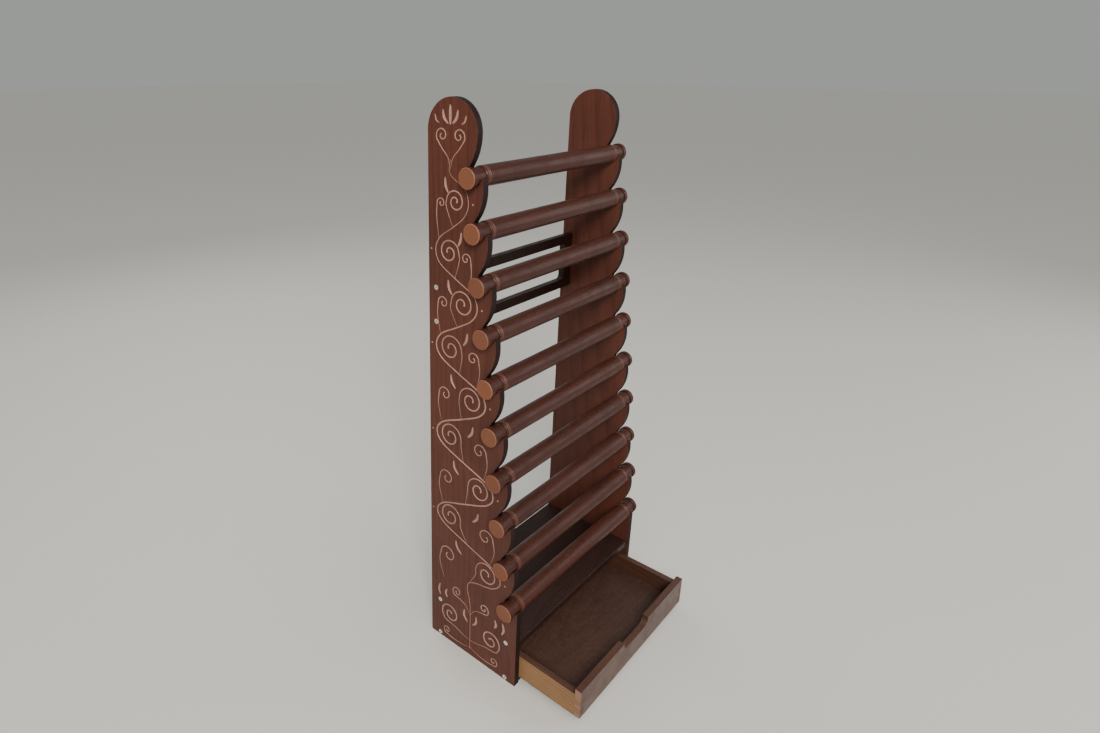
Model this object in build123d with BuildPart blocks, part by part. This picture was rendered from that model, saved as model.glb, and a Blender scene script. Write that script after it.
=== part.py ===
"""Bracelet stand: two scalloped side panels, ten lift-out rods and a base box with one drawer.

Frame: millimetres, +Z up, +X to the right, the front faces -Y. The origin lies on the floor,
in the middle of the footprint of the two side panels. The drawer is drawn pulled open.
"""

from build123d import *
from math import acos, atan2, cos, degrees, hypot, radians, sin, tan
import os

os.makedirs("parts", exist_ok=True)

# ---- driving dimensions ------------------------------------------------------------------
STAND_WIDTH = 392.0  # over the outer faces of the side panels
STAND_DEPTH = 200.0  # of a side panel at its foot
BOARD = 12.0  # thickness of every solid wood board
HEAD_RADIUS = 49.0  # round head of a side panel
HEAD_HEIGHT = 942.0  # height of the centre of that round head

ROD_COUNT = 10
ROD_PITCH = 80.0  # height from rod to rod
ROD_LEAN = 10.15  # how far each rod stands forward of the rod above it
TOP_ROD_Y = 7.85
LOWEST_ROD_Z = 160.0
ROD_RADIUS = 16.0
NECK_RADIUS = 14.0  # turned down where the rod rests in the panels
CAP_LENGTH = 9.0  # end button outside a panel
CAP_STANDOFF = 8.0  # free neck between panel and end button
FIT = 0.3  # clearance between pieces that move apart

LOBE_REACH = 18.0  # how far a scallop stands forward of the rod above it
LOBE_DROP = 16.0  # how far below that rod it stands furthest forward
LIP_REACH = 16.5  # front corner of the notch, forward of the rod
LIP_DROP = 2.5  # and below it
THROAT_Y = 8.5  # back corner of the notch mouth, behind the rod
THROAT_Z = 15.5  # and above it
LIFT_LEAN = 30.0  # a rod lifts out this many degrees forward of upright

SHELF_TOP = 90.5
SHELF_SETBACK = 2.0  # base boards stop short of the panels' edges
BACK_BOARD = 9.0

BRACE_BOTTOM = 615.0
BRACE_TOP = 721.0
BRACE_Y = 84.5  # middle of the brace's thickness
BRACE_RAIL = 17.5  # wood left above and below the window
BRACE_STILE = 24.0  # wood left at each end of the window

DRAWER_OPEN = 127.0  # how far the drawer is drawn out
DRAWER_DEPTH = 186.5
DRAWER_GAP = 1.2  # clearance at each side of the drawer
FRONT_HEIGHT = 56.0
SIDE_HEIGHT = 45.0
FINGER = 9.0  # height of one finger of the corner joints
BOTTOM_PLY = 4.0
GROOVE_HEIGHT = 9.0  # of the groove above the drawer's underside
GROOVE_DEPTH = 5.0
SCOOP_WIDTH = 86.0
SCOOP_DEPTH = 15.0
SCOOP_CORNER = 12.0

SCREW_RADIUS = 2.0
SCREW_HEAD_RADIUS = 4.2
SCREW_LENGTH = 35.0
HOLE_PLAY = 0.05
BRACE_SCREW_INSET = 24.0  # from the brace's top and bottom edges
PILOT_PLAY = 1.0  # a pilot hole is this much deeper than its screw
BASE_SCREW_Y = 78.0
SHELF_SCREW_Z = 82.5
BOTTOM_SCREW_Z = BOARD / 2

# ---- worked-out places -------------------------------------------------------------------
OUTER = STAND_WIDTH / 2
INNER = OUTER - BOARD
FRONT_Y = -STAND_DEPTH / 2
BACK_Y = STAND_DEPTH / 2
NOTCH_RADIUS = NECK_RADIUS + FIT
SHELF_UNDERSIDE = SHELF_TOP - BOARD
BASE_FRONT_Y = FRONT_Y + SHELF_SETBACK
BASE_BACK_Y = BACK_Y - SHELF_SETBACK
BRACE_MIDDLE = (BRACE_TOP + BRACE_BOTTOM) / 2
BRACE_SCREW_HEIGHTS = [BRACE_TOP - BRACE_SCREW_INSET, BRACE_BOTTOM + BRACE_SCREW_INSET]

DRAWER_HALF = INNER - DRAWER_GAP
DRAWER_INSIDE = DRAWER_HALF - BOARD
DRAWER_FRONT_Y = BASE_FRONT_Y - DRAWER_OPEN
DRAWER_BACK_Y = DRAWER_FRONT_Y + DRAWER_DEPTH
DRAWER_Z = BOARD + FIT
DRAWER_MIDDLE_Y = (DRAWER_FRONT_Y + DRAWER_BACK_Y) / 2
FINGER_CENTERS = [DRAWER_Z + (count + 0.5) * FINGER for count in (1, 3)]
PILOT_DEPTH = SCREW_LENGTH - BOARD + PILOT_PLAY


def rod_axis(index):
    """Y and Z of a rod's axis, index 0 being the top rod."""
    return TOP_ROD_Y - index * ROD_LEAN, LOWEST_ROD_Z + (ROD_COUNT - 1 - index) * ROD_PITCH


def throat_point(index):
    """Where the edge above a notch runs smoothly into the notch's round bottom."""
    mouth_angle = degrees(atan2(THROAT_Z, THROAT_Y))
    wall_angle = radians(mouth_angle - degrees(acos(NOTCH_RADIUS / hypot(THROAT_Y, THROAT_Z))))
    y, z = rod_axis(index)
    return y + NOTCH_RADIUS * cos(wall_angle), z + NOTCH_RADIUS * sin(wall_angle)


def notch_mouth(index):
    """Back corner of a notch's mouth, where the scallop above it ends."""
    y, z = rod_axis(index)
    return y + THROAT_Y, z + THROAT_Z


def notch_lip(index):
    """Front corner of a notch, where the scallop below it starts."""
    y, z = rod_axis(index)
    return y - LIP_REACH, z - LIP_DROP


def draw_notch(index):
    """Round seat for a rod's neck, open along the way the rod lifts out."""
    y, z = rod_axis(index)
    lean = radians(LIFT_LEAN)
    floor_of_notch = (y, z - NOTCH_RADIUS)
    ramp_foot = (y - NOTCH_RADIUS * cos(lean), z - NOTCH_RADIUS * sin(lean))
    ramp_top_z = z - LIP_DROP
    ramp_top_y = ramp_foot[0] - (ramp_top_z - ramp_foot[1]) * tan(lean)
    Line(notch_mouth(index), throat_point(index))
    ThreePointArc(throat_point(index), floor_of_notch, ramp_foot)
    Line(ramp_foot, (ramp_top_y, ramp_top_z))
    Line((ramp_top_y, ramp_top_z), notch_lip(index))


def draw_lobe(index):
    """Scallop from the lip under one rod to the mouth of the next notch down."""
    y, z = rod_axis(index)
    crest = (y - LOBE_REACH, z - LOBE_DROP)
    ThreePointArc(notch_lip(index), crest, notch_mouth(index + 1))


def panel_screw_points():
    """Y and Z of the screws through one side panel."""
    brace = [(BRACE_Y, z) for z in BRACE_SCREW_HEIGHTS]
    base = [(y, z) for z in (SHELF_SCREW_Z, BOTTOM_SCREW_Z) for y in (-BASE_SCREW_Y, BASE_SCREW_Y)]
    return brace + base


def screw_places(side):
    """Locations on a panel's outer face, side -1 left and +1 right, with Z pointing outwards."""
    face = Plane(origin=(side * OUTER, 0, 0), x_dir=(0, side, 0), z_dir=(side, 0, 0))
    return [face.location * Location((side * y, z, 0)) for y, z in panel_screw_points()]


def pilot_places(heights):
    """Locations on both ends of a board, for the screws at the given heights."""
    points = [(y, z) for y, z in panel_screw_points() if z in heights]
    places = []
    for side in (-1, 1):
        end = Plane(origin=(side * INNER, 0, 0), x_dir=(0, side, 0), z_dir=(side, 0, 0))
        places += [end.location * Location((side * y, z, 0)) for y, z in points]
    return places


def finish(builder, name):
    """Label one finished piece and write it."""
    builder.part.label = name
    export_step(builder.part, f"parts/{name}.step")


# ---- side panels -------------------------------------------------------------------------
head_back = (BACK_Y, HEAD_HEIGHT)
head_top = (BACK_Y - HEAD_RADIUS, HEAD_HEIGHT + HEAD_RADIUS)
head_front = (BACK_Y - 2 * HEAD_RADIUS, HEAD_HEIGHT)

for side, side_name in ((-1, "left"), (1, "right")):
    panel_plane = Plane.YZ.offset(-OUTER if side < 0 else INNER)
    with BuildPart() as side_panel:
        with BuildSketch(panel_plane):
            with BuildLine():
                Line((FRONT_Y, 0), (BACK_Y, 0))
                Line((BACK_Y, 0), head_back)
                ThreePointArc(head_back, head_top, head_front)
                TangentArc(head_front, notch_mouth(0), tangent=(0, -1))
                for index in range(ROD_COUNT):
                    draw_notch(index)
                for index in range(ROD_COUNT - 1):
                    draw_lobe(index)
                Line(notch_lip(ROD_COUNT - 1), (FRONT_Y, 0))
            make_face()
        extrude(amount=BOARD)
        with Locations(*screw_places(side)):
            CounterSinkHole(SCREW_RADIUS + HOLE_PLAY, SCREW_HEAD_RADIUS + HOLE_PLAY)
    finish(side_panel, f"{side_name}_side_panel")

# ---- rods --------------------------------------------------------------------------------
SHOULDER_X = INNER - FIT
CAP_X = OUTER + CAP_STANDOFF
ROD_END = CAP_X + CAP_LENGTH
EASE = 1.2  # eased edges of the turned shoulders and end buttons
RING_INSETS = (8.5, 5.0)  # two fine turned rings beside each shoulder
RING_WIDTH = 1.2
RING_DEPTH = 0.6

ring_outline = []
for inset in RING_INSETS:
    ring_x = SHOULDER_X - inset
    ring_outline += [
        (ring_x - RING_WIDTH / 2, ROD_RADIUS),
        (ring_x, ROD_RADIUS - RING_DEPTH),
        (ring_x + RING_WIDTH / 2, ROD_RADIUS),
    ]

half_rod_outline = [
    (0, 0),
    (0, ROD_RADIUS),
    *ring_outline,
    (SHOULDER_X - EASE, ROD_RADIUS),
    (SHOULDER_X, ROD_RADIUS - EASE),
    (SHOULDER_X, NECK_RADIUS),
    (CAP_X, NECK_RADIUS),
    (CAP_X, ROD_RADIUS - EASE / 2),
    (CAP_X + EASE / 2, ROD_RADIUS),
    (ROD_END - EASE, ROD_RADIUS),
    (ROD_END, ROD_RADIUS - EASE),
    (ROD_END, 0),
]

for index in range(ROD_COUNT):
    rod_y, rod_z = rod_axis(index)
    axis_plane = Plane(origin=(0, rod_y, rod_z), x_dir=(1, 0, 0), z_dir=(0, -1, 0))
    with BuildPart() as rod:
        with BuildSketch(axis_plane):
            with BuildLine():
                Polyline(*half_rod_outline, close=True)
            make_face()
        revolve(axis=Axis((0, rod_y, rod_z), (1, 0, 0)))
        mirror(about=Plane.YZ)
    finish(rod, f"rod_{index + 1:02d}")

# ---- back brace: one board with a long window --------------------------------------------
window_width = 2 * (INNER - BRACE_STILE)
window_height = BRACE_TOP - BRACE_BOTTOM - 2 * BRACE_RAIL
WINDOW_CORNER = 8.0
with BuildPart() as back_brace:
    with BuildSketch(Plane.XZ.offset(-BRACE_Y - BOARD / 2)):
        with Locations((0, BRACE_MIDDLE)):
            Rectangle(2 * INNER, BRACE_TOP - BRACE_BOTTOM)
            RectangleRounded(window_width, window_height, WINDOW_CORNER, mode=Mode.SUBTRACT)
    extrude(amount=BOARD)
    long_edges = back_brace.edges().filter_by(Axis.X).group_by(Axis.Z)
    fillet(long_edges[0] + long_edges[-1], EASE)
    with Locations(*pilot_places(BRACE_SCREW_HEIGHTS)):
        Hole(SCREW_RADIUS + HOLE_PLAY, depth=PILOT_DEPTH)
finish(back_brace, "back_brace")

# ---- base box ----------------------------------------------------------------------------
base_depth = BASE_BACK_Y - BASE_FRONT_Y
for name, underside, screw_height in (
    ("base_shelf", SHELF_UNDERSIDE, SHELF_SCREW_Z),
    ("base_bottom_board", 0.0, BOTTOM_SCREW_Z),
):
    with BuildPart() as base_board:
        with BuildSketch(Plane.XY.offset(underside)):
            Rectangle(2 * INNER, base_depth)
        extrude(amount=BOARD)
        front_top_edge = base_board.edges().filter_by(Axis.X).group_by(Axis.Y)[0].sort_by(Axis.Z)[-1]
        fillet(front_top_edge, EASE)
        with Locations(*pilot_places([screw_height])):
            Hole(SCREW_RADIUS + HOLE_PLAY, depth=PILOT_DEPTH)
    finish(base_board, name)

with BuildPart() as base_back_board:
    with BuildSketch(Plane.XZ.offset(-BASE_BACK_Y)):
        with Locations((0, (BOARD + SHELF_UNDERSIDE) / 2)):
            Rectangle(2 * INNER, SHELF_UNDERSIDE - BOARD)
    extrude(amount=BACK_BOARD)
finish(base_back_board, "base_back_board")

# ---- drawer ------------------------------------------------------------------------------
ply_width = 2 * (DRAWER_INSIDE + GROOVE_DEPTH)
ply_length = DRAWER_DEPTH - 2 * BOARD + 2 * GROOVE_DEPTH
ply_plane = Plane.XY.offset(DRAWER_Z + GROOVE_HEIGHT)


def cut_groove():
    """Groove for the drawer's bottom, cut in the board being built."""
    play = 2 * HOLE_PLAY
    with BuildSketch(ply_plane) as groove:
        with Locations((0, DRAWER_MIDDLE_Y)):
            Rectangle(ply_width + play, ply_length + play)
    extrude(groove.sketch, amount=BOTTOM_PLY + play, mode=Mode.SUBTRACT)


for name, outer_y, inwards, height in (
    ("drawer_front", DRAWER_FRONT_Y, 1, FRONT_HEIGHT),
    ("drawer_back", DRAWER_BACK_Y, -1, SIDE_HEIGHT),
):
    with BuildPart() as end_board:
        with BuildSketch(Plane.XZ.offset(-outer_y)):
            with Locations((0, DRAWER_Z + height / 2)):
                Rectangle(2 * DRAWER_HALF, height)
            with Locations(*[(x, z) for x in (-DRAWER_HALF, DRAWER_HALF) for z in FINGER_CENTERS]):
                Rectangle(2 * BOARD, FINGER, mode=Mode.SUBTRACT)
            if name == "drawer_front":
                with Locations((0, DRAWER_Z + height)):
                    RectangleRounded(SCOOP_WIDTH, 2 * SCOOP_DEPTH, SCOOP_CORNER, mode=Mode.SUBTRACT)
        extrude(amount=-inwards * BOARD)
        cut_groove()
    finish(end_board, name)

for side, side_name in ((-1, "left"), (1, "right")):
    with BuildPart() as side_board:
        with BuildSketch(Plane.YZ.offset(side * DRAWER_HALF)):
            with Locations((DRAWER_MIDDLE_Y, DRAWER_Z + SIDE_HEIGHT / 2)):
                Rectangle(DRAWER_DEPTH - 2 * BOARD, SIDE_HEIGHT)
            with Locations(*[(DRAWER_MIDDLE_Y, z) for z in FINGER_CENTERS]):
                Rectangle(DRAWER_DEPTH, FINGER)
        extrude(amount=-side * BOARD)
        cut_groove()
    finish(side_board, f"drawer_{side_name}_side")

with BuildPart() as drawer_bottom:
    with BuildSketch(ply_plane.offset(HOLE_PLAY)):
        with Locations((0, DRAWER_MIDDLE_Y)):
            Rectangle(ply_width, ply_length)
    extrude(amount=BOTTOM_PLY)
finish(drawer_bottom, "drawer_bottom")

# ---- screws: countersunk, with a cross recess --------------------------------------------
HEAD_CONE = 2.4  # depth of the cone under the head
RECESS_LENGTH = 4.4
RECESS_WIDTH = 1.0
RECESS_DEPTH = 1.2
TIP_LENGTH = 5.0

with BuildPart() as screw:
    with BuildSketch(Plane.XZ):
        with BuildLine():
            Polyline(
                (0, 0),
                (SCREW_HEAD_RADIUS, 0),
                (SCREW_RADIUS, -HEAD_CONE),
                (SCREW_RADIUS, TIP_LENGTH - SCREW_LENGTH),
                (0, -SCREW_LENGTH),
                close=True,
            )
        make_face()
    revolve(axis=Axis.Z)
    for turn in (0, 90):
        with Locations(Location((0, 0, 0), (0, 0, turn))):
            Box(RECESS_LENGTH, RECESS_WIDTH, 2 * RECESS_DEPTH, mode=Mode.SUBTRACT)

for side, side_name in ((-1, "left"), (1, "right")):
    with BuildPart() as screws:
        with Locations(*screw_places(side)):
            add(screw.part)
    finish(screws, f"{side_name}_screws")
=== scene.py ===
# %% [markdown]
# # A wooden bracelet stand, dressed for its picture
# The stand arrives as a finished set of solids: two scalloped side panels, ten lift-out rods, a
# windowed brace, a small base box and a drawer that stands open. This lesson gives those solids
# eased edges, stained wood, end grain, zinc screws and an engraved panel, then lights them softly.
# Nothing is moved and nothing is resized, because the same solids also have to work as a mechanism.

import bmesh
import bpy
from math import cos, pi, radians, sin
from mathutils import Matrix, Vector


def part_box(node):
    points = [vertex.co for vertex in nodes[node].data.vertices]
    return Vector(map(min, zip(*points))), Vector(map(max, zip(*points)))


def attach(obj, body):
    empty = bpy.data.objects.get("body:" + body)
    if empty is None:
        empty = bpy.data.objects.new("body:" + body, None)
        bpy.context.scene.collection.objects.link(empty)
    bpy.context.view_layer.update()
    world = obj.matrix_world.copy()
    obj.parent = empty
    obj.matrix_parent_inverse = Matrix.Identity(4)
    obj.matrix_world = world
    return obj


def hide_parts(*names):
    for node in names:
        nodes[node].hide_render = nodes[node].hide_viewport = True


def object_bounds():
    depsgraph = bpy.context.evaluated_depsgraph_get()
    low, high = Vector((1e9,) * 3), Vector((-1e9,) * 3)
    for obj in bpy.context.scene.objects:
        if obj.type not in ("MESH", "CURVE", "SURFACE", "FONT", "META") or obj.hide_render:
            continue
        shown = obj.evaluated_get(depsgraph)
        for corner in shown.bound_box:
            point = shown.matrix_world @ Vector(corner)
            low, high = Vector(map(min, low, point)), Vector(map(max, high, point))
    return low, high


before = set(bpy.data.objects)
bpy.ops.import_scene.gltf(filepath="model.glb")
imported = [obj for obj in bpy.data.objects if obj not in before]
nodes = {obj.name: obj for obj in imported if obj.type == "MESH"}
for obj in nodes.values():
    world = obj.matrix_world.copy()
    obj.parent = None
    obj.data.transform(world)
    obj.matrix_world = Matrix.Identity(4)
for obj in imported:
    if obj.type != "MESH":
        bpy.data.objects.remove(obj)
cad_low, cad_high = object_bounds()
print("parts:", len(nodes), "size in mm:", [round(1000 * s) for s in cad_high - cad_low])

# %% [markdown]
# ## Measures taken from the solids
# Every place used later is read from the solids themselves: the outer face of a panel, the axis of
# a rod, the end of a rod. If the stand is rebuilt at another size, the looks follow it.

# %% Measures
MM = 0.001
panel_low, panel_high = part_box("left_side_panel")
rod_names = sorted(name for name in nodes if name.startswith("rod_"))
rod_axes = []
for name in rod_names:
    low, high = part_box(name)
    rod_axes.append(((low.y + high.y) / 2, (low.z + high.z) / 2))
rod_low, rod_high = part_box(rod_names[0])
rod_radius = (rod_high.z - rod_low.z) / 2
print("rods:", len(rod_axes), "radius mm:", round(rod_radius / MM, 1))


# %% [markdown]
# ## Building materials in code
# A material is a small graph. Wiring graphs by hand is long-winded, so a few short helpers come
# first: they add a node and feed its inputs, do arithmetic, make a soft step and blend colours.
# An input may be a plain number or the output of another node, and feed tells them apart.


# %% Graph helpers
def feed(tree, socket, value):
    """Link a node's output to an input, or store a plain value on it."""
    if isinstance(value, bpy.types.NodeSocket):
        tree.links.new(value, socket)
    elif value is not None:
        socket.default_value = value


def place(tree, kind, inputs=(), **settings):
    """Add one node, set its options and feed the inputs named or numbered."""
    made = tree.nodes.new(kind)
    for key, value in settings.items():
        setattr(made, key, value)
    for key, value in dict(inputs).items():
        feed(tree, made.inputs[key], value)
    return made


def calc(tree, operation, *values):
    """One step of arithmetic on numbers."""
    return place(tree, "ShaderNodeMath", enumerate(values), operation=operation).outputs[0]


def calc_vector(tree, operation, *values):
    """One step of arithmetic on vectors."""
    return place(tree, "ShaderNodeVectorMath", enumerate(values), operation=operation).outputs[0]


def between(tree, value, low, high):
    """0 below low, 1 above high and a soft step between."""
    settings = {"interpolation_type": "SMOOTHSTEP"}
    return place(tree, "ShaderNodeMapRange", {0: value, 1: low, 2: high}, **settings).outputs[0]


def blend_colours(tree, amount, first, second):
    """Blend two colours: 0 gives the first, 1 the second."""
    mixer = place(tree, "ShaderNodeMix", data_type="RGBA", blend_type="MIX", clamp_factor=True)
    for key, value in ((0, amount), (6, first), (7, second)):
        feed(tree, mixer.inputs[key], value)
    return mixer.outputs[2]


def rgb(red, green, blue):
    """A colour in linear light, opaque."""
    return (red, green, blue, 1.0)


print("graph helpers ready")


# %% [markdown]
# ## A node group for the grain of a board
# Sawn wood shows three things at three sizes: broad arches where the saw crossed the growth rings,
# fine fibres a fraction of a millimetre wide and many centimetres long, and short dark pores. A
# picture of wood would repeat and stretch, so the grain is computed instead. The rings are
# cylinders round an imaginary tree axis beside the board, bent a little by noise. The group takes
# points with the grain running along Z and gives back three masks and one height for the bumps.


# %% Group: board grain
def new_group(name, inputs, outputs):
    """An empty node group with its sockets, and its two end nodes."""
    group = bpy.data.node_groups.new(name, "ShaderNodeTree")
    for label, kind, value in inputs:
        socket = group.interface.new_socket(label, in_out="INPUT", socket_type=kind)
        if value is not None:
            socket.default_value = value
    for label, kind in outputs:
        group.interface.new_socket(label, in_out="OUTPUT", socket_type=kind)
    return group, group.nodes.new("NodeGroupInput"), group.nodes.new("NodeGroupOutput")


FLOAT, VECTOR = "NodeSocketFloat", "NodeSocketVector"


def build_board_grain():
    """Growth rings, fibres and pores of a sawn board, grain along Z."""
    group, given, result = new_group(
        "board grain",
        [
            ("Point", VECTOR, None),
            ("Ring Spacing", FLOAT, 0.007),
            ("Waviness", FLOAT, 0.012),
            ("Fibre Size", FLOAT, 0.0012),
        ],
        [("Rings", FLOAT), ("Fibres", FLOAT), ("Pores", FLOAT), ("Height", FLOAT)],
    )
    point = given.outputs["Point"]
    tree_axis = place(
        group,
        "ShaderNodeMapping",
        {"Vector": point, "Location": (0.11, 0.07, 0.0), "Rotation": (radians(2.2), radians(-1.6), 0)},
    ).outputs[0]
    axes = place(group, "ShaderNodeSeparateXYZ", {0: tree_axis}).outputs
    spread = calc(group, "ADD", calc(group, "POWER", axes[0], 2.0), calc(group, "POWER", axes[1], 2.0))
    radius = calc(group, "SQRT", spread)
    stretched = calc_vector(group, "MULTIPLY", point, (1.0, 1.0, 0.18))
    bend = place(group, "ShaderNodeTexNoise", {"Vector": stretched, "Scale": 9.0, "Detail": 3.0})
    sway = calc(group, "MULTIPLY", calc(group, "SUBTRACT", bend.outputs[0], 0.5), given.outputs["Waviness"])
    turns = calc(group, "DIVIDE", calc(group, "ADD", radius, sway), given.outputs["Ring Spacing"])
    saw = calc(group, "FRACT", turns)
    late_wood = calc(group, "POWER", saw, 2.2)
    soft_end = calc(group, "SUBTRACT", 1.0, between(group, saw, 0.9, 1.0))
    rings = calc(group, "MULTIPLY", late_wood, soft_end)

    along = calc_vector(group, "MULTIPLY", point, (1.0, 1.0, 0.02))
    fineness = calc(group, "DIVIDE", 1.0, given.outputs["Fibre Size"])
    fibre_noise = place(group, "ShaderNodeTexNoise", {"Vector": along, "Scale": fineness, "Detail": 4.0})
    fibres = between(group, fibre_noise.outputs[0], 0.34, 0.68)
    short = calc_vector(group, "MULTIPLY", point, (1.0, 1.0, 0.06))
    pore_noise = place(
        group, "ShaderNodeTexNoise", {"Vector": short, "Scale": calc(group, "MULTIPLY", fineness, 1.7)}
    )
    pores = between(group, pore_noise.outputs[0], 0.62, 0.72)
    height = calc(group, "SUBTRACT", calc(group, "MULTIPLY", fibres, 0.4), pores)
    for label, value in (("Rings", rings), ("Fibres", fibres), ("Pores", pores), ("Height", height)):
        feed(group, result.inputs[label], value)
    return group


BOARD_GRAIN = build_board_grain()
print("group:", BOARD_GRAIN.name, [s.name for s in BOARD_GRAIN.interface.items_tree])


# %% [markdown]
# ## A node group for stain and handling
# Stain never soaks in evenly, and hands and dusters leave their marks. This group gives a broad
# blotch mask for the colour, a finer smear mask for the gloss, and a mask of dust that settles on
# faces that look upwards.


# %% Group: stain and handling
def build_handling():
    """Uneven stain, smears in the gloss and settled dust."""
    group, given, result = new_group(
        "stain and handling",
        [("Point", VECTOR, None), ("Facing", VECTOR, None), ("Blotch Size", FLOAT, 0.12)],
        [("Blotch", FLOAT), ("Smear", FLOAT), ("Dust", FLOAT)],
    )
    point = given.outputs["Point"]
    scale = calc(group, "DIVIDE", 1.0, given.outputs["Blotch Size"])
    broad = place(group, "ShaderNodeTexNoise", {"Vector": point, "Scale": scale, "Detail": 3.0})
    smear = place(
        group,
        "ShaderNodeTexNoise",
        {"Vector": point, "Scale": calc(group, "MULTIPLY", scale, 4.5), "Detail": 4.0, "Distortion": 0.6},
    )
    specks = place(group, "ShaderNodeTexNoise", {"Vector": point, "Scale": 420.0, "Detail": 2.0})
    upward = place(group, "ShaderNodeSeparateXYZ", {0: given.outputs["Facing"]}).outputs[2]
    lying = between(group, upward, 0.55, 0.98)
    dust = calc(group, "MULTIPLY", lying, between(group, specks.outputs[0], 0.42, 0.75))
    masks = {
        "Blotch": between(group, broad.outputs[0], 0.3, 0.7),
        "Smear": between(group, smear.outputs[0], 0.3, 0.72),
        "Dust": dust,
    }
    for label, value in masks.items():
        feed(group, result.inputs[label], value)
    return group


HANDLING = build_handling()
print("group:", HANDLING.name)

# %% [markdown]
# ## Stained wood
# All the stained pieces share one recipe with their own colours: a base stain, darker late wood
# between the rings, darker pores, a slow blotch, and a satin lacquer whose gloss the smears break
# up. The grain runs along the length of each board, so the recipe first turns the point so that
# this length becomes Z. The numbers that stay the same all over a piece sit on the shader itself.

# %% Recipe: stained wood
GRAIN_ORDER = {"X": (1, 2, 0), "Y": (2, 0, 1), "Z": (0, 1, 2)}
PORE_DEPTH = 0.0003  # of the relief that the grain leaves, in metres


def turned_point(tree, grain_along):
    """The surface point with the chosen axis as Z."""
    parts = place(tree, "ShaderNodeSeparateXYZ", {0: object_point(tree)}).outputs
    order = GRAIN_ORDER[grain_along]
    return place(tree, "ShaderNodeCombineXYZ", {i: parts[order[i]] for i in range(3)}).outputs[0]


def object_point(tree):
    """The point on the surface, which stays with the piece when it moves."""
    return place(tree, "ShaderNodeTexCoord").outputs["Object"]


def facing(tree):
    """The direction that the surface faces, also fixed to the piece."""
    return place(tree, "ShaderNodeTexCoord").outputs["Normal"]


def new_material(name):
    """A material with only a Principled shader, and its graph."""
    made = bpy.data.materials.new(name)
    made.use_nodes = True
    tree = made.node_tree
    return made, tree, tree.nodes["Principled BSDF"]


def stained_wood(
    name,
    light,
    dark,
    grain_along="Z",
    ring_spacing=0.007,
    ring_strength=0.35,
    roughness=(0.34, 0.5),
    coat=0.15,
    specular=0.4,
    extra=None,
):
    """A stained and lacquered board. extra may repaint part of it."""
    made, tree, shader = new_material(name)
    point = turned_point(tree, grain_along)
    grain = place(tree, "ShaderNodeGroup", node_tree=BOARD_GRAIN)
    feed(tree, grain.inputs["Point"], point)
    grain.inputs["Ring Spacing"].default_value = ring_spacing
    wear = place(tree, "ShaderNodeGroup", node_tree=HANDLING)
    feed(tree, wear.inputs["Point"], object_point(tree))
    feed(tree, wear.inputs["Facing"], facing(tree))
    rings = calc(tree, "MULTIPLY", grain.outputs["Rings"], ring_strength)
    fibres = calc(tree, "MULTIPLY", grain.outputs["Fibres"], 0.3)
    blotch = calc(tree, "MULTIPLY", wear.outputs["Blotch"], 0.25)
    depth = calc(tree, "ADD", calc(tree, "ADD", rings, fibres), blotch)
    colour = blend_colours(tree, depth, light, dark)
    pores = calc(tree, "MULTIPLY", grain.outputs["Pores"], 0.45)
    colour = blend_colours(tree, pores, colour, rgb(*(0.35 * c for c in dark[:3])))
    gloss = place(
        tree, "ShaderNodeMapRange", {0: wear.outputs["Smear"], 3: roughness[0], 4: roughness[1]}
    ).outputs[0]
    if extra:
        colour, gloss = extra(tree, colour, gloss, grain, wear)
    dusty = calc(tree, "MULTIPLY", wear.outputs["Dust"], 0.05)
    colour = blend_colours(tree, dusty, colour, rgb(0.42, 0.37, 0.33))
    feed(tree, shader.inputs["Base Color"], colour)
    feed(tree, shader.inputs["Roughness"], gloss)
    shader.inputs["Coat Weight"].default_value = coat
    shader.inputs["Specular IOR Level"].default_value = specular
    shader.inputs["Coat Roughness"].default_value = 0.28
    relief = {"Strength": 0.35, "Distance": PORE_DEPTH, "Height": grain.outputs["Height"]}
    bump = place(tree, "ShaderNodeBump", relief)
    feed(tree, shader.inputs["Normal"], bump.outputs[0])
    return made


PANEL_LIGHT, PANEL_DARK = rgb(0.102, 0.032, 0.0205), rgb(0.040, 0.0125, 0.0082)


def edge_stain_and_shade(tree, colour, gloss, grain, wear):
    """A board's narrow sides are darker than its face: partly the stain they drink, partly painted shade.
    """
    outwards = place(tree, "ShaderNodeSeparateXYZ", {0: facing(tree)}).outputs[0]
    on_face = between(tree, calc(tree, "ABSOLUTE", outwards), 0.4, 0.7)
    on_edge = calc(tree, "SUBTRACT", 1.0, on_face)
    dull = calc(tree, "ADD", gloss, calc(tree, "MULTIPLY", on_edge, 0.28))
    # near-black narrow sides: absorbed stain and painted shade together
    return blend_colours(tree, on_face, rgb(0.014, 0.005, 0.004), colour), dull


SATIN = {"coat": 0.04, "specular": 0.16}
panel_wood = stained_wood("panel stain", PANEL_LIGHT, PANEL_DARK, "Z", 0.009, **SATIN, extra=edge_stain_and_shade)
BASE_LIGHT, BASE_DARK = rgb(0.027, 0.0105, 0.0075), rgb(0.012, 0.005, 0.004)
base_wood = stained_wood("base stain", BASE_LIGHT, BASE_DARK, "X", 0.008, **SATIN)
print("materials:", panel_wood.name, base_wood.name)

# %% [markdown]
# Two finishes go with the panels. Where an edge was eased with sandpaper and then handled, the
# stain is thinner and paler, and this pale colour on the eased edges is also a painted highlight
# along the arris. In the engraved lines there is no stain at all: the machine cut through it to
# bare wood, a little burnt and dusty, so it is matt, with no lacquer.

# %% Eased edges and bare wood
# the pale eased edges are partly wear and partly a painted highlight along the arris
edge_wear_and_highlight = stained_wood(
    "rubbed edge with painted highlight", rgb(0.24, 0.10, 0.068), rgb(0.10, 0.038, 0.026), "Z", 0.009, 0.2, (0.28, 0.42), 0.35
)


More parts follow.
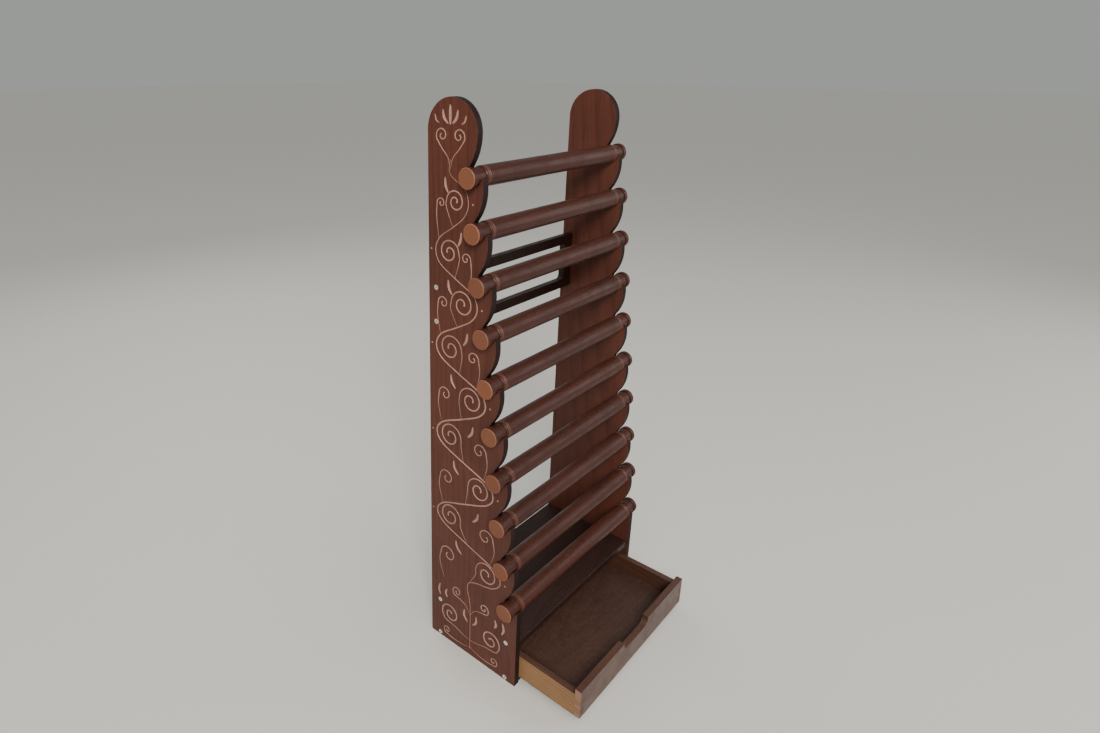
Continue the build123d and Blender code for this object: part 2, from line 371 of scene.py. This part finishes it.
def bare_wood(name, light, dark, grain_along="Z"):
    """Unstained wood, matt, with its fibres."""
    made, tree, shader = new_material(name)
    grain = place(tree, "ShaderNodeGroup", node_tree=BOARD_GRAIN)
    feed(tree, grain.inputs["Point"], turned_point(tree, grain_along))
    wear = place(tree, "ShaderNodeGroup", node_tree=HANDLING)
    feed(tree, wear.inputs["Point"], object_point(tree))
    wear.inputs["Blotch Size"].default_value = 0.03
    share = calc(tree, "MULTIPLY", grain.outputs["Fibres"], 0.45)
    share = calc(tree, "ADD", share, calc(tree, "MULTIPLY", wear.outputs["Blotch"], 0.5))
    feed(tree, shader.inputs["Base Color"], blend_colours(tree, share, light, dark))
    gloss = place(tree, "ShaderNodeMapRange", {0: wear.outputs["Smear"], 3: 0.62, 4: 0.8}).outputs[0]
    feed(tree, shader.inputs["Roughness"], gloss)
    relief = {"Strength": 0.4, "Distance": PORE_DEPTH, "Height": grain.outputs["Height"]}
    bump = place(tree, "ShaderNodeBump", relief)
    feed(tree, shader.inputs["Normal"], bump.outputs[0])
    return made


line_wood = bare_wood("bare wood in the lines", rgb(0.40, 0.235, 0.18), rgb(0.24, 0.13, 0.098))
print("materials:", edge_wear_and_highlight.name, line_wood.name)

# %% [markdown]
# ## Turned rods
# The rods are dark and satin, with their grain running along them. Their end buttons were sawn
# after staining, so the flat ends show orange end grain: fine rings round the rod's own axis, a
# few rays, and a paler rim where the edge was eased. Two thin pale lines near each shoulder are
# painted highlights, where the edges of the turned groove catch the light. One material serves all
# ten rods. The distance to the nearest rod's axis is found from the even spacing of the rods:
# counting rods down from the top gives the axis each point belongs to.

# %% Group: end grain of a rod
top_y, top_z = rod_axes[0]
low_y, low_z = rod_axes[-1]
rod_pitch = (top_z - low_z) / (len(rod_axes) - 1)
rod_lean = (top_y - low_y) / (len(rod_axes) - 1)


def build_end_grain():
    """Rings, rays and rim on the sawn ends of the evenly spaced rods."""
    group, given, result = new_group(
        "rod end grain",
        [("Point", VECTOR, None), ("Rod Radius", FLOAT, 0.016)],
        [("Rings", FLOAT), ("Rays", FLOAT), ("Rim", FLOAT), ("Rod Number", FLOAT)],
    )
    axes = place(group, "ShaderNodeSeparateXYZ", {0: given.outputs["Point"]}).outputs
    count = calc(group, "ROUND", calc(group, "DIVIDE", calc(group, "SUBTRACT", top_z, axes[2]), rod_pitch))
    axis_y = calc(group, "SUBTRACT", top_y, calc(group, "MULTIPLY", count, rod_lean))
    axis_z = calc(group, "SUBTRACT", top_z, calc(group, "MULTIPLY", count, rod_pitch))
    across = calc(group, "SUBTRACT", axes[1], axis_y)
    up = calc(group, "SUBTRACT", axes[2], axis_z)
    bend = place(group, "ShaderNodeTexNoise", {"Vector": given.outputs["Point"], "Scale": 60.0})
    off_centre = calc(group, "ADD", across, 0.006)
    squares = calc(group, "ADD", calc(group, "POWER", off_centre, 2.0), calc(group, "POWER", up, 2.0))
    away = calc(group, "ADD", calc(group, "SQRT", squares), calc(group, "MULTIPLY", bend.outputs[0], 0.004))
    rings = calc(group, "POWER", calc(group, "FRACT", calc(group, "DIVIDE", away, 0.0048)), 2.0)
    angle = calc(group, "ARCTAN2", up, off_centre)
    fan = place(group, "ShaderNodeCombineXYZ", {0: calc(group, "MULTIPLY", angle, 5.0), 1: count})
    rays = place(group, "ShaderNodeTexNoise", {"Vector": fan.outputs[0], "Scale": 2.0, "Detail": 2.0})
    own = calc(group, "ADD", calc(group, "POWER", across, 2.0), calc(group, "POWER", up, 2.0))
    share = calc(group, "DIVIDE", calc(group, "SQRT", own), given.outputs["Rod Radius"])
    results = {
        "Rings": rings,
        "Rays": between(group, rays.outputs[0], 0.45, 0.7),
        "Rim": between(group, share, 0.86, 0.97),
        "Rod Number": count,
    }
    for label, value in results.items():
        feed(group, result.inputs[label], value)
    return group


END_GRAIN = build_end_grain()
print("rod pitch mm:", round(rod_pitch / MM, 2), "lean mm:", round(rod_lean / MM, 2))

# %% Material: turned rod
# where the two painted ring highlights lie, measured inwards from the shoulder
RING_HIGHLIGHTS_FROM_SHOULDER = (0.0085, 0.005)
SHOULDER_GAP = 0.0003  # between a panel's inner face and the rod's shoulder
END_BAND = (0.0016, 0.0011)  # the end's paint fades in over this stretch inside the end
shoulder = abs(panel_high.x + SHOULDER_GAP)
END_LIGHT, END_DARK = rgb(0.225, 0.083, 0.037), rgb(0.125, 0.043, 0.020)


def rod_ends(tree, colour, gloss, grain, wear):
    """Sawn ends, and painted highlights on the turned rings, over the rod's stain."""
    point = object_point(tree)
    ends = place(tree, "ShaderNodeGroup", node_tree=END_GRAIN)
    feed(tree, ends.inputs["Point"], point)
    ends.inputs["Rod Radius"].default_value = rod_radius
    out = calc(tree, "ABSOLUTE", place(tree, "ShaderNodeSeparateXYZ", {0: point}).outputs[0])
    flat = calc(tree, "ABSOLUTE", place(tree, "ShaderNodeSeparateXYZ", {0: facing(tree)}).outputs[0])
    near_end = between(tree, out, *(rod_high.x - inset for inset in END_BAND))
    on_end = calc(tree, "MULTIPLY", near_end, between(tree, flat, 0.5, 0.75))
    number = {"W": ends.outputs["Rod Number"]}
    own = place(tree, "ShaderNodeTexWhiteNoise", number, noise_dimensions="1D").outputs[0]
    tint = END_LIGHT
    for mask, strength, towards in (
        (ends.outputs["Rings"], 0.75, END_DARK),
        (ends.outputs["Rays"], 0.5, rgb(0.28, 0.115, 0.057)),
        (wear.outputs["Blotch"], 0.5, rgb(0.125, 0.045, 0.024)),
        (ends.outputs["Rim"], 0.6, rgb(0.30, 0.125, 0.075)),
        (own, 0.6, rgb(0.13, 0.048, 0.029)),
    ):
        tint = blend_colours(tree, calc(tree, "MULTIPLY", mask, strength), tint, towards)
    # painted highlights: two pale lines where the edges of the turned groove catch the light
    for inset in RING_HIGHLIGHTS_FROM_SHOULDER:
        beside = calc(tree, "ABSOLUTE", calc(tree, "SUBTRACT", out, shoulder - inset))
        line = calc(tree, "SUBTRACT", 1.0, between(tree, beside, 0.0004, 0.0009))
        colour = blend_colours(tree, calc(tree, "MULTIPLY", line, 0.55), colour, rgb(0.22, 0.085, 0.05))
    colour = blend_colours(tree, on_end, colour, tint)
    gloss = calc(tree, "ADD", gloss, calc(tree, "MULTIPLY", on_end, 0.12))
    return colour, gloss


rod_wood = stained_wood(
    "rod stain",
    rgb(0.058, 0.0155, 0.0088),
    rgb(0.020, 0.0056, 0.0035),
    "X",
    0.006,
    roughness=(0.34, 0.5),
    coat=0.04,
    specular=0.18,
    extra=rod_ends,
)
print("material:", rod_wood.name)

# %% [markdown]
# ## The drawer
# Only what shows when the drawer is shut was stained with care. Its sides were left golden outside
# and stained inside and on top; the front is stained, but the fingers that lock through the
# corners are end grain and take less colour. The stain recipe takes a last step that repaints the
# faces pointing one way, so the same board can be two colours without being cut in two.


# %% Materials: drawer
def raw_outside(light, dark, grain_along):
    """A last step for the stain recipe: faces pointing to the left or right stay raw."""

    def repaint(tree, colour, gloss, grain, wear):
        parts = place(tree, "ShaderNodeSeparateXYZ", {0: facing(tree)}).outputs
        place_x = place(tree, "ShaderNodeSeparateXYZ", {0: object_point(tree)}).outputs[0]
        outwards = calc(tree, "MULTIPLY", parts[0], calc(tree, "SIGN", place_x))
        raw = between(tree, outwards, 0.5, 0.8)
        share = calc(tree, "MULTIPLY", grain.outputs["Rings"], 0.55)
        share = calc(tree, "ADD", share, calc(tree, "MULTIPLY", grain.outputs["Fibres"], 0.3))
        share = calc(tree, "ADD", share, calc(tree, "MULTIPLY", wear.outputs["Blotch"], 0.3))
        wood = blend_colours(tree, share, light, dark)
        gloss = calc(tree, "ADD", gloss, calc(tree, "MULTIPLY", raw, 0.12))
        return blend_colours(tree, raw, colour, wood), gloss

    return repaint


GOLD = raw_outside(rgb(0.262, 0.140, 0.056), rgb(0.128, 0.058, 0.022), "Y")
PINKISH = raw_outside(rgb(0.30, 0.155, 0.105), rgb(0.16, 0.075, 0.048), "X")
DRAWER_LIGHT, DRAWER_DARK = rgb(0.085, 0.034, 0.020), rgb(0.036, 0.014, 0.009)
drawer_side_wood = stained_wood(
    "drawer side wood", DRAWER_LIGHT, DRAWER_DARK, "Y", 0.006, 0.45, (0.4, 0.56), 0.1, extra=GOLD
)
drawer_front_wood = stained_wood(
    "drawer front wood", DRAWER_LIGHT, DRAWER_DARK, "X", 0.006, 0.4, (0.36, 0.5), 0.15, extra=PINKISH
)
VENEER_LIGHT, VENEER_DARK = rgb(0.060, 0.026, 0.016), rgb(0.027, 0.012, 0.008)
drawer_floor_wood = stained_wood(
    "drawer floor veneer", VENEER_LIGHT, VENEER_DARK, "X", 0.005, 0.3, (0.42, 0.55), 0.05
)
print("drawer materials:", drawer_side_wood.name, drawer_front_wood.name, drawer_floor_wood.name)

# %% [markdown]
# ## Screws
# Zinc-plated steel: a bright metal, brushed by the driver, with painted shade in the cross.
# Below the head's face the colour is darkened towards grey, more the deeper it lies.

# %% Material: zinc screw
CROSS_FLOOR, CROSS_RIM = 0.0011, 0.0002  # metres below the panel's face: full painted shade, no painted shade
zinc, tree, shader = new_material("zinc plate")
shader.inputs["Metallic"].default_value = 1.0
point = object_point(tree)
screw_x = calc(tree, "ABSOLUTE", place(tree, "ShaderNodeSeparateXYZ", {0: point}).outputs[0])
face_out = abs(panel_low.x)
raised = between(tree, screw_x, face_out - CROSS_FLOOR, face_out - CROSS_RIM)
# painted shade: the cross recess is darkened by its depth below the head's face
recess_shade = calc(tree, "MULTIPLY", calc(tree, "SUBTRACT", 1.0, raised), 0.8)
cloud = place(tree, "ShaderNodeTexNoise", {"Vector": point, "Scale": 700.0, "Detail": 3.0})
plate = blend_colours(tree, cloud.outputs[0], rgb(0.93, 0.93, 0.92), rgb(0.78, 0.78, 0.78))
feed(tree, shader.inputs["Base Color"], blend_colours(tree, recess_shade, plate, rgb(0.16, 0.15, 0.15)))
rub = place(tree, "ShaderNodeMapRange", {0: cloud.outputs[0], 3: 0.22, 4: 0.42}).outputs[0]
feed(tree, shader.inputs["Roughness"], rub)
bump = place(tree, "ShaderNodeBump", {"Strength": 0.2, "Distance": 0.0001, "Height": cloud.outputs[0]})
feed(tree, shader.inputs["Normal"], bump.outputs[0])
print("material:", zinc.name)

# %% [markdown]
# ## Dressing the solids
# Each solid gets its finish by name. Boards also get their sharp edges eased by a Bevel modifier,
# which only changes what is seen: the solid underneath stays as it came. Two small steps come
# first, because the solids arrive as loose triangles. A Weld joins their corners, and a Decimate
# set to dissolve turns each flat face into one polygon, so that the bevel meets no stray edges.


# %% Finishes and eased edges
def finish_of(name):
    """Material, width of the eased edge and finish of that edge, for a node."""
    if name.startswith("rod_"):
        return rod_wood, 0, None
    if name.endswith("_screws"):
        return zinc, 0, None
    if name.endswith("side_panel"):
        return panel_wood, 0.8, edge_wear_and_highlight
    if name == "drawer_bottom":
        return drawer_floor_wood, 0, None
    if name in ("drawer_left_side", "drawer_right_side"):
        return drawer_side_wood, 0.5, None
    if name.startswith("drawer"):
        return drawer_front_wood, 0.5, None
    return base_wood, 0.5, None


def ease_edges(node, width):
    """Weld, clean and bevel what is shown of a board."""
    weld = node.modifiers.new("join corners", "WELD")
    weld.merge_threshold = 0.000001
    clean = node.modifiers.new("one face per side", "DECIMATE")
    clean.decimate_type = "DISSOLVE"
    clean.angle_limit = radians(0.3)
    bevel = node.modifiers.new("eased edges", "BEVEL")
    bevel.width = width * MM
    bevel.segments = 2
    bevel.limit_method = "ANGLE"
    bevel.angle_limit = radians(40)
    return bevel


eased = 0
for name, node in nodes.items():
    finish, width, edge_finish = finish_of(name)
    node.data.materials.clear()
    node.data.materials.append(finish)
    if width:
        bevel = ease_edges(node, width)
        eased += 1
        if edge_finish:
            node.data.materials.append(edge_finish)
            bevel.material = 1
print("boards with eased edges:", eased)

# %% [markdown]
# ## The engraved scrollwork
# The outer faces of both panels carry scrollwork cut by a machine: lines two to three millimetres
# wide that end in tight curls, and wider leaves, all showing bare pale wood under the stain. It
# could be painted on with a mask, but then a low light would give it away. Here every line is a
# long thin cutter with a tapered section, and a Boolean takes it out of the panel. The drawing is
# laid out from the panel's back edge (first number) and from the floor (second), in millimetres.

# %% Lines and curls
STEP = 2.0  # length of one piece of a line, in millimetres


def smooth_line(points):
    """A Catmull-Rom line through the points, in short even pieces."""
    points = [Vector(p) for p in points]
    padded = [2 * points[0] - points[1]] + points + [2 * points[-1] - points[-2]]
    line = []
    for before, start, end, after in zip(padded, padded[1:], padded[2:], padded[3:]):
        pieces = max(1, round((end - start).length / STEP))
        for piece in range(pieces):
            t = piece / pieces
            line.append(
                0.5
                * (
                    2 * start
                    + (end - before) * t
                    + (2 * before - 5 * start + 4 * end - after) * t**2
                    + (3 * start - before - 3 * end + after) * t**3
                )
            )
    return line + [points[-1]]


FINENESS = 0.8  # one setting for how fine the lines are
LEAF_WIDTH = 4.5  # a stroke wider than this is a leaf, and keeps its width
TIP = 0.3  # width at the ends of a stroke, as a share of the middle
CURL_END = 0.2  # radius at the inner end of a curl, as a share of the start


def stroke(points, width):
    """A line that swells to its full width in the middle."""
    width = width if width > LEAF_WIDTH else FINENESS * width
    line = smooth_line(points)
    last = len(line) - 1
    swell = [max(0.0, sin(pi * i / last)) ** 0.7 for i in range(last + 1)]
    return [(p, width / 2 * (TIP + (1 - TIP) * share)) for p, share in zip(line, swell)]


def curl(stem, centre, radius, start, turns, width):
    """A stem that winds into a curl. Angles in degrees, turns above 0 go anticlockwise."""
    width = FINENESS * width
    steps = max(3, round(abs(turns) * 14))
    wound = []
    for i in range(steps + 1):
        share = i / steps
        angle = radians(start + 360 * turns * share)
        reach = radius * (1 - (1 - CURL_END) * share**1.15)
        wound.append((centre[0] + reach * cos(angle), centre[1] + reach * sin(angle)))
    line = smooth_line(list(stem) + wound)
    last = len(line) - 1
    body = [(p, width / 2 * min(1.0, 0.3 + 1.6 * i / last)) for i, p in enumerate(line)]
    return body, dot(wound[-1], 0.75 * width)


def dot(centre, radius):
    """A drilled dot."""
    return ("dot", Vector(centre), radius)


print("drawing helpers ready")

# %% [markdown]
# The drawing is a plain running scroll, laid out from the panel's own measures. One wavy stem
# climbs from rod to rod. It crosses the middle of the board at every rod and swings out halfway
# between, and a curl fills each swing. Symmetrical pairs of curls close it in the head and the
# foot. Points are in millimetres: distance from the board's back edge, then height.

# %% The drawing
EDGE_MARGIN = 14.0  # wood left between the stem's swings and the line of the rods
LARGEST_CURL = 24.0
STEM_GAP = 9.0  # wood between a curl and the stem's swing around it
HEAD_AXIS, FOOT_AXIS = 46.0, 96.0
HALF_PITCH = rod_pitch / MM / 2
BEND = ((0.74, -21), (0.97, 0), (0.74, 21))  # share of the swing's reach, height from its middle
LEAF = ((0.2, 12), (0.34, 22), (0.38, 35))  # the same, on the side away from the swing


def rod_line(height):
    """How far in front of the back edge the rods' axes stand at a height."""
    return (panel_high.y - low_y - (height * MM - low_z) / rod_pitch * rod_lean) / MM


def centre_at(height):
    """The middle of the board behind the rods, where the stem crosses it."""
    return rod_line(height) / 2


def swing(height, side):
    """Curls and leaves of one swing of the stem. side is 1 to the front, -1 to the back."""
    middle_line = centre_at(height)
    reach = middle_line - EDGE_MARGIN
    radius = min(LARGEST_CURL, 0.52 * reach)
    eye = middle_line + side * (reach - radius - STEM_GAP)
    start = 180 if side > 0 else 0

    def opposite(share, rise):
        """A point away from the swing: share of its reach, height from its middle."""
        return (middle_line - side * share * reach, height + rise)

    crossing = (centre_at(height - HALF_PITCH), height - HALF_PITCH)
    branch = [crossing, (eye - side * 1.02 * radius, height - 0.55 * radius)]
    shoot = [opposite(0.76, -60), opposite(0.9, -28)]
    return [
        *curl(branch, (eye, height), radius, start, -1.5 * side, 3.2),
        *curl(shoot, opposite(0.62, -5), 0.24 * reach, start, -1.1 * side, 2.6),
        stroke([opposite(share, rise) for share, rise in LEAF], 5.0),
        dot((middle_line + side * (reach + 8), height), 1.8),
    ]


def pair(axis, stem, eye, radius, start, turns, width):
    """A curl and its mirror image on both sides of an axis."""
    curls = []
    for side, angle in ((1, start), (-1, 180 - start)):
        points = [(axis + side * d, v) for d, v in stem]
        curls += curl(points, (axis + side * eye[0], eye[1]), radius, angle, side * turns, width)
    return curls


def both(axis, points, width):
    """A line and its mirror image on both sides of an axis."""
    return [stroke([(axis + side * d, v) for d, v in points], width) for side in (-1, 1)]


lowest, highest = low_z / MM, top_z / MM
stem_line = [(FOOT_AXIS, 14), (FOOT_AXIS, 60), (FOOT_AXIS, 110), (centre_at(lowest), lowest)]
drawing = []
for step in range(len(rod_axes) - 1):
    height = lowest + (2 * step + 1) * HALF_PITCH
    side = 1 if step % 2 == 0 else -1
    middle_line = centre_at(height)
    reach = middle_line - EDGE_MARGIN
    stem_line += [(middle_line + side * share * reach, height + rise) for share, rise in BEND]
    stem_line.append((centre_at(height + HALF_PITCH), height + HALF_PITCH))
    drawing += swing(height, side)
drawing += [
    stroke(stem_line + [(HEAD_AXIS, highest + 22)], 3.6),
    *pair(HEAD_AXIS, [(0.5, 888), (5, 904), (17, 917)], (17, 936), 12, -50, 1.25, 2.8),
    stroke([(HEAD_AXIS, 952), (HEAD_AXIS, 966), (HEAD_AXIS, 980)], 5.5),
    *both(HEAD_AXIS, [(4, 953), (12, 961), (15, 973)], 4.8),
    *both(HEAD_AXIS, [(22, 953), (28, 957), (31, 966)], 3.6),
    *pair(FOOT_AXIS, [(0.5, 34), (16, 36), (36, 42)], (48, 64), 22, -60, 1.5, 3.4),
    *pair(FOOT_AXIS, [(0.5, 92), (10, 106), (24, 112)], (32, 124), 11, -60, 1.2, 2.8),
    *pair(FOOT_AXIS, [(0.5, 18), (16, 13), (40, 11)], (56, 22), 9, -60, 1.1, 2.6),
    *both(FOOT_AXIS, [(73, 94), (77, 106), (74, 120)], 4.8),
    *both(FOOT_AXIS, [(6, 72), (14, 82), (14, 96)], 4.8),
    *both(FOOT_AXIS, [(56, 98), (60, 106), (57, 116)], 4.8),
]
print("lines and dots in the drawing:", len(drawing))

# %% [markdown]
# Each line becomes a closed strip whose section is a shallow trough: wide just outside the face,
# narrow at the bottom. Both panels get the same drawing, seen from outside, so the right one is
# the mirror image of the left. The cutters are hidden, and only what they take away is seen.

# %% Cutters
GROOVE_DEPTH, PROUD = 0.9, 0.5  # millimetres that a cutter reaches into the wood and stands out of it


def add_strip(corners, faces, line):
    """A closed strip along one line, four corners to a section."""
    first = len(corners)
    last = len(line) - 1
    for i, (spot, half) in enumerate(line):
        ahead = line[min(i + 1, last)][0] - line[max(i - 1, 0)][0]
        across = Vector((-ahead.y, ahead.x)).normalized() * half
        for share, level in ((1.25, PROUD), (0.5, -GROOVE_DEPTH)):
            for sign in (1, -1):
                edge = spot + sign * share * across
                corners.append((edge.x, edge.y, level))
    ring = (0, 1, 3, 2)
    for i in range(last):
        near, far = first + 4 * i, first + 4 * (i + 1)
        for a, b in zip(ring, ring[1:] + ring[:1]):
            faces.append((near + a, near + b, far + b, far + a))
    end = first + 4 * last
    faces.append(tuple(first + c for c in reversed(ring)))
    faces.append(tuple(end + c for c in ring))


def add_dot(corners, faces, centre, radius, sides=12):
    """A closed shallow cone for a drilled dot."""
    first = len(corners)
    for share, level in ((1.1, PROUD), (0.6, -GROOVE_DEPTH)):
        for i in range(sides):
            angle = 2 * pi * i / sides
            reach = share * radius
            corners.append((centre.x + reach * cos(angle), centre.y + reach * sin(angle), level))
    for i in range(sides):
        j = (i + 1) % sides
        faces.append((first + j, first + i, first + sides + i, first + sides + j))
    faces.append(tuple(first + i for i in range(sides)))
    faces.append(tuple(first + sides + i for i in reversed(range(sides))))


def engraving_cutter(name, face_x, outwards, material):
    """All lines of the drawing as one hidden cutter on a panel's outer face."""
    corners, faces = [], []
    for item in drawing:
        if item[0] == "dot":
            add_dot(corners, faces, item[1], item[2])
        else:
            add_strip(corners, faces, item)
    back, floor_z = panel_high.y, panel_low.z
    spots = [(face_x + outwards * w * MM, back - u * MM, floor_z + v * MM) for u, v, w in corners]
    mesh = bpy.data.meshes.new(name)
    mesh.from_pydata(spots, [], faces)
    mesh.materials.append(material)
    work = bmesh.new()
    work.from_mesh(mesh)
    bmesh.ops.recalc_face_normals(work, faces=work.faces)
    work.to_mesh(mesh)
    work.free()
    cutter = bpy.data.objects.new(name, mesh)
    bpy.context.scene.collection.objects.link(cutter)
    return cutter


# %% [markdown]
# A Boolean leaves each face it touches as one polygon, and a whole panel with dozens of lines cut
# through it would be a polygon too tangled to draw. So the shown panel is first copied, eased
# edges and all, and its faces are divided into small cells. The exact solver then cuts every cell
# cleanly. It is slow, so it runs once: the right panel is the left one mirrored. The carved
# copies stand for the plain panels.

# %% Carve the panels
CELL = 0.012  # size of a cell, in metres
OFFSET = 0.37  # of a cell, so that no cut runs along an edge of the panel


def divided_copy(node_name):
    """What is shown of a board, as a mesh whose faces are divided into cells."""
    depsgraph = bpy.context.evaluated_depsgraph_get()
    mesh = bpy.data.meshes.new_from_object(nodes[node_name].evaluated_get(depsgraph))
    mesh.attributes.remove(mesh.attributes["custom_normal"])
    low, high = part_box(node_name)
    work = bmesh.new()
    work.from_mesh(mesh)
    for axis in (1, 2):
        normal = Vector([float(i == axis) for i in range(3)])
        for count in range(1, int((high[axis] - low[axis]) / CELL) + 1):
            spot = low + normal * (count - OFFSET) * CELL
            everything = work.verts[:] + work.edges[:] + work.faces[:]
            bmesh.ops.bisect_plane(work, geom=everything, dist=1e-7, plane_co=spot, plane_no=normal)
    work.to_mesh(mesh)
    work.free()
    return mesh


def carved_mesh(node_name, face_x, outwards):
    """The divided panel with the drawing cut into its outer face."""
    blank = bpy.data.objects.new("blank", divided_copy(node_name))
    cutter = engraving_cutter("lines", face_x, outwards, line_wood)
    bpy.context.scene.collection.objects.link(blank)
    cut = blank.modifiers.new("engraving", "BOOLEAN")
    cut.operation, cut.solver, cut.object = "DIFFERENCE", "EXACT", cutter
    cut.use_self, cut.material_mode = True, "TRANSFER"
    bpy.context.view_layer.update()
    depsgraph = bpy.context.evaluated_depsgraph_get()
    carved = bpy.data.meshes.new_from_object(blank.evaluated_get(depsgraph))
    for spent in (blank, cutter):
        bpy.data.objects.remove(spent)
    return carved


def mirrored(mesh):
    """The same mesh on the other side of the stand."""
    other = mesh.copy()
    other.transform(Matrix.Scale(-1, 4, (1, 0, 0)))
    other.flip_normals()
    return other


def stand_for(node_name, mesh):
    """Show the carved mesh in place of a plain panel."""
    panel = bpy.data.objects.new("engraved_" + node_name, mesh)
    bpy.context.scene.collection.objects.link(panel)
    mesh.shade_smooth()
    mesh.set_sharp_from_angle(angle=radians(35))
    shade = panel.modifiers.new("flat faces stay flat", "WEIGHTED_NORMAL")
    shade.keep_sharp = True
    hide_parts(node_name)
    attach(panel, "stand")
    return len(mesh.polygons)


left_carved = carved_mesh("left_side_panel", panel_low.x, -1)
print("faces in a panel:", stand_for("left_side_panel", left_carved))
print("and its mirror:", stand_for("right_side_panel", mirrored(left_carved)))

for name, node in nodes.items():
    if node.modifiers:
        shade = node.modifiers.new("flat faces stay flat", "WEIGHTED_NORMAL")
        shade.keep_sharp = True

# %% [markdown]
# ## Stage
# A wide pale floor and an evenly lit sky leave the stand on its own. A large key light on the left
# shows the engraving, a weak fill opens the shadows, and a broad overcast light keeps the far floor
# as pale as the sky, so that no dark band crosses behind the stand.

# %% Floor, lights, camera
floor_mesh = bpy.data.meshes.new("floor")
FLOOR_REACH = 30.0  # half the floor's side, in metres
floor_corners = [(x * FLOOR_REACH, y * FLOOR_REACH, 0) for x, y in ((-1, -1), (1, -1), (1, 1), (-1, 1))]
floor_mesh.from_pydata(floor_corners, [], [(0, 1, 2, 3)])
floor = bpy.data.objects.new("floor", floor_mesh)
floor.location.z = cad_low.z
bpy.context.scene.collection.objects.link(floor)
floor_paint, tree, shader = new_material("pale floor")
feed(tree, shader.inputs["Base Color"], rgb(0.62, 0.6, 0.56))
shader.inputs["Roughness"].default_value = 0.6
floor_mesh.materials.append(floor_paint)

world = bpy.data.worlds.new("soft room")
bpy.context.scene.world = world
world.use_nodes = True
world.node_tree.nodes["Background"].inputs["Color"].default_value = rgb(0.84, 0.87, 0.84)
world.node_tree.nodes["Background"].inputs["Strength"].default_value = 0.42


def soft_light(name, place_at, aim_at, size, watts, tint=(1, 1, 1)):
    """A square area light aimed at a point."""
    data = bpy.data.lights.new(name, "AREA")
    data.size, data.energy, data.color = size, watts, tint
    light = bpy.data.objects.new(name, data)
    light.location = place_at
    light.rotation_euler = (Vector(aim_at) - Vector(place_at)).to_track_quat("-Z", "Y").to_euler()
    bpy.context.scene.collection.objects.link(light)
    return light


middle = (cad_low + cad_high) / 2
soft_light("key", (-2.4, -2.0, 2.6), middle, 1.2, 150, (1, 0.96, 0.91))
soft_light("fill", (2.2, -2.0, 1.5), middle, 2.0, 30)
soft_light("back", (0.4, 2.2, 2.0), middle, 1.6, 20)

overcast_data = bpy.data.lights.new("overcast", "SUN")
overcast_data.energy, overcast_data.angle = 0.8, radians(70)
overcast = bpy.data.objects.new("overcast", overcast_data)
overcast.rotation_euler = (radians(28), radians(-22), 0)
bpy.context.scene.collection.objects.link(overcast)

CAMERA_DOWN, CAMERA_RIGHT = 19.283, 47.141  # degrees below level, and to the right of straight back
camera_data = bpy.data.cameras.new("camera")
camera_data.sensor_width = 36
camera_data.lens = 22.977
camera_data.shift_x, camera_data.shift_y = 0.0930, -0.0545
camera = bpy.data.objects.new("camera", camera_data)
camera.location = (-0.96818, -0.65716, 1.03886)
camera.rotation_euler = (radians(90 - CAMERA_DOWN), 0, radians(-CAMERA_RIGHT))
bpy.context.scene.collection.objects.link(camera)
bpy.context.scene.camera = camera
print("camera placed")
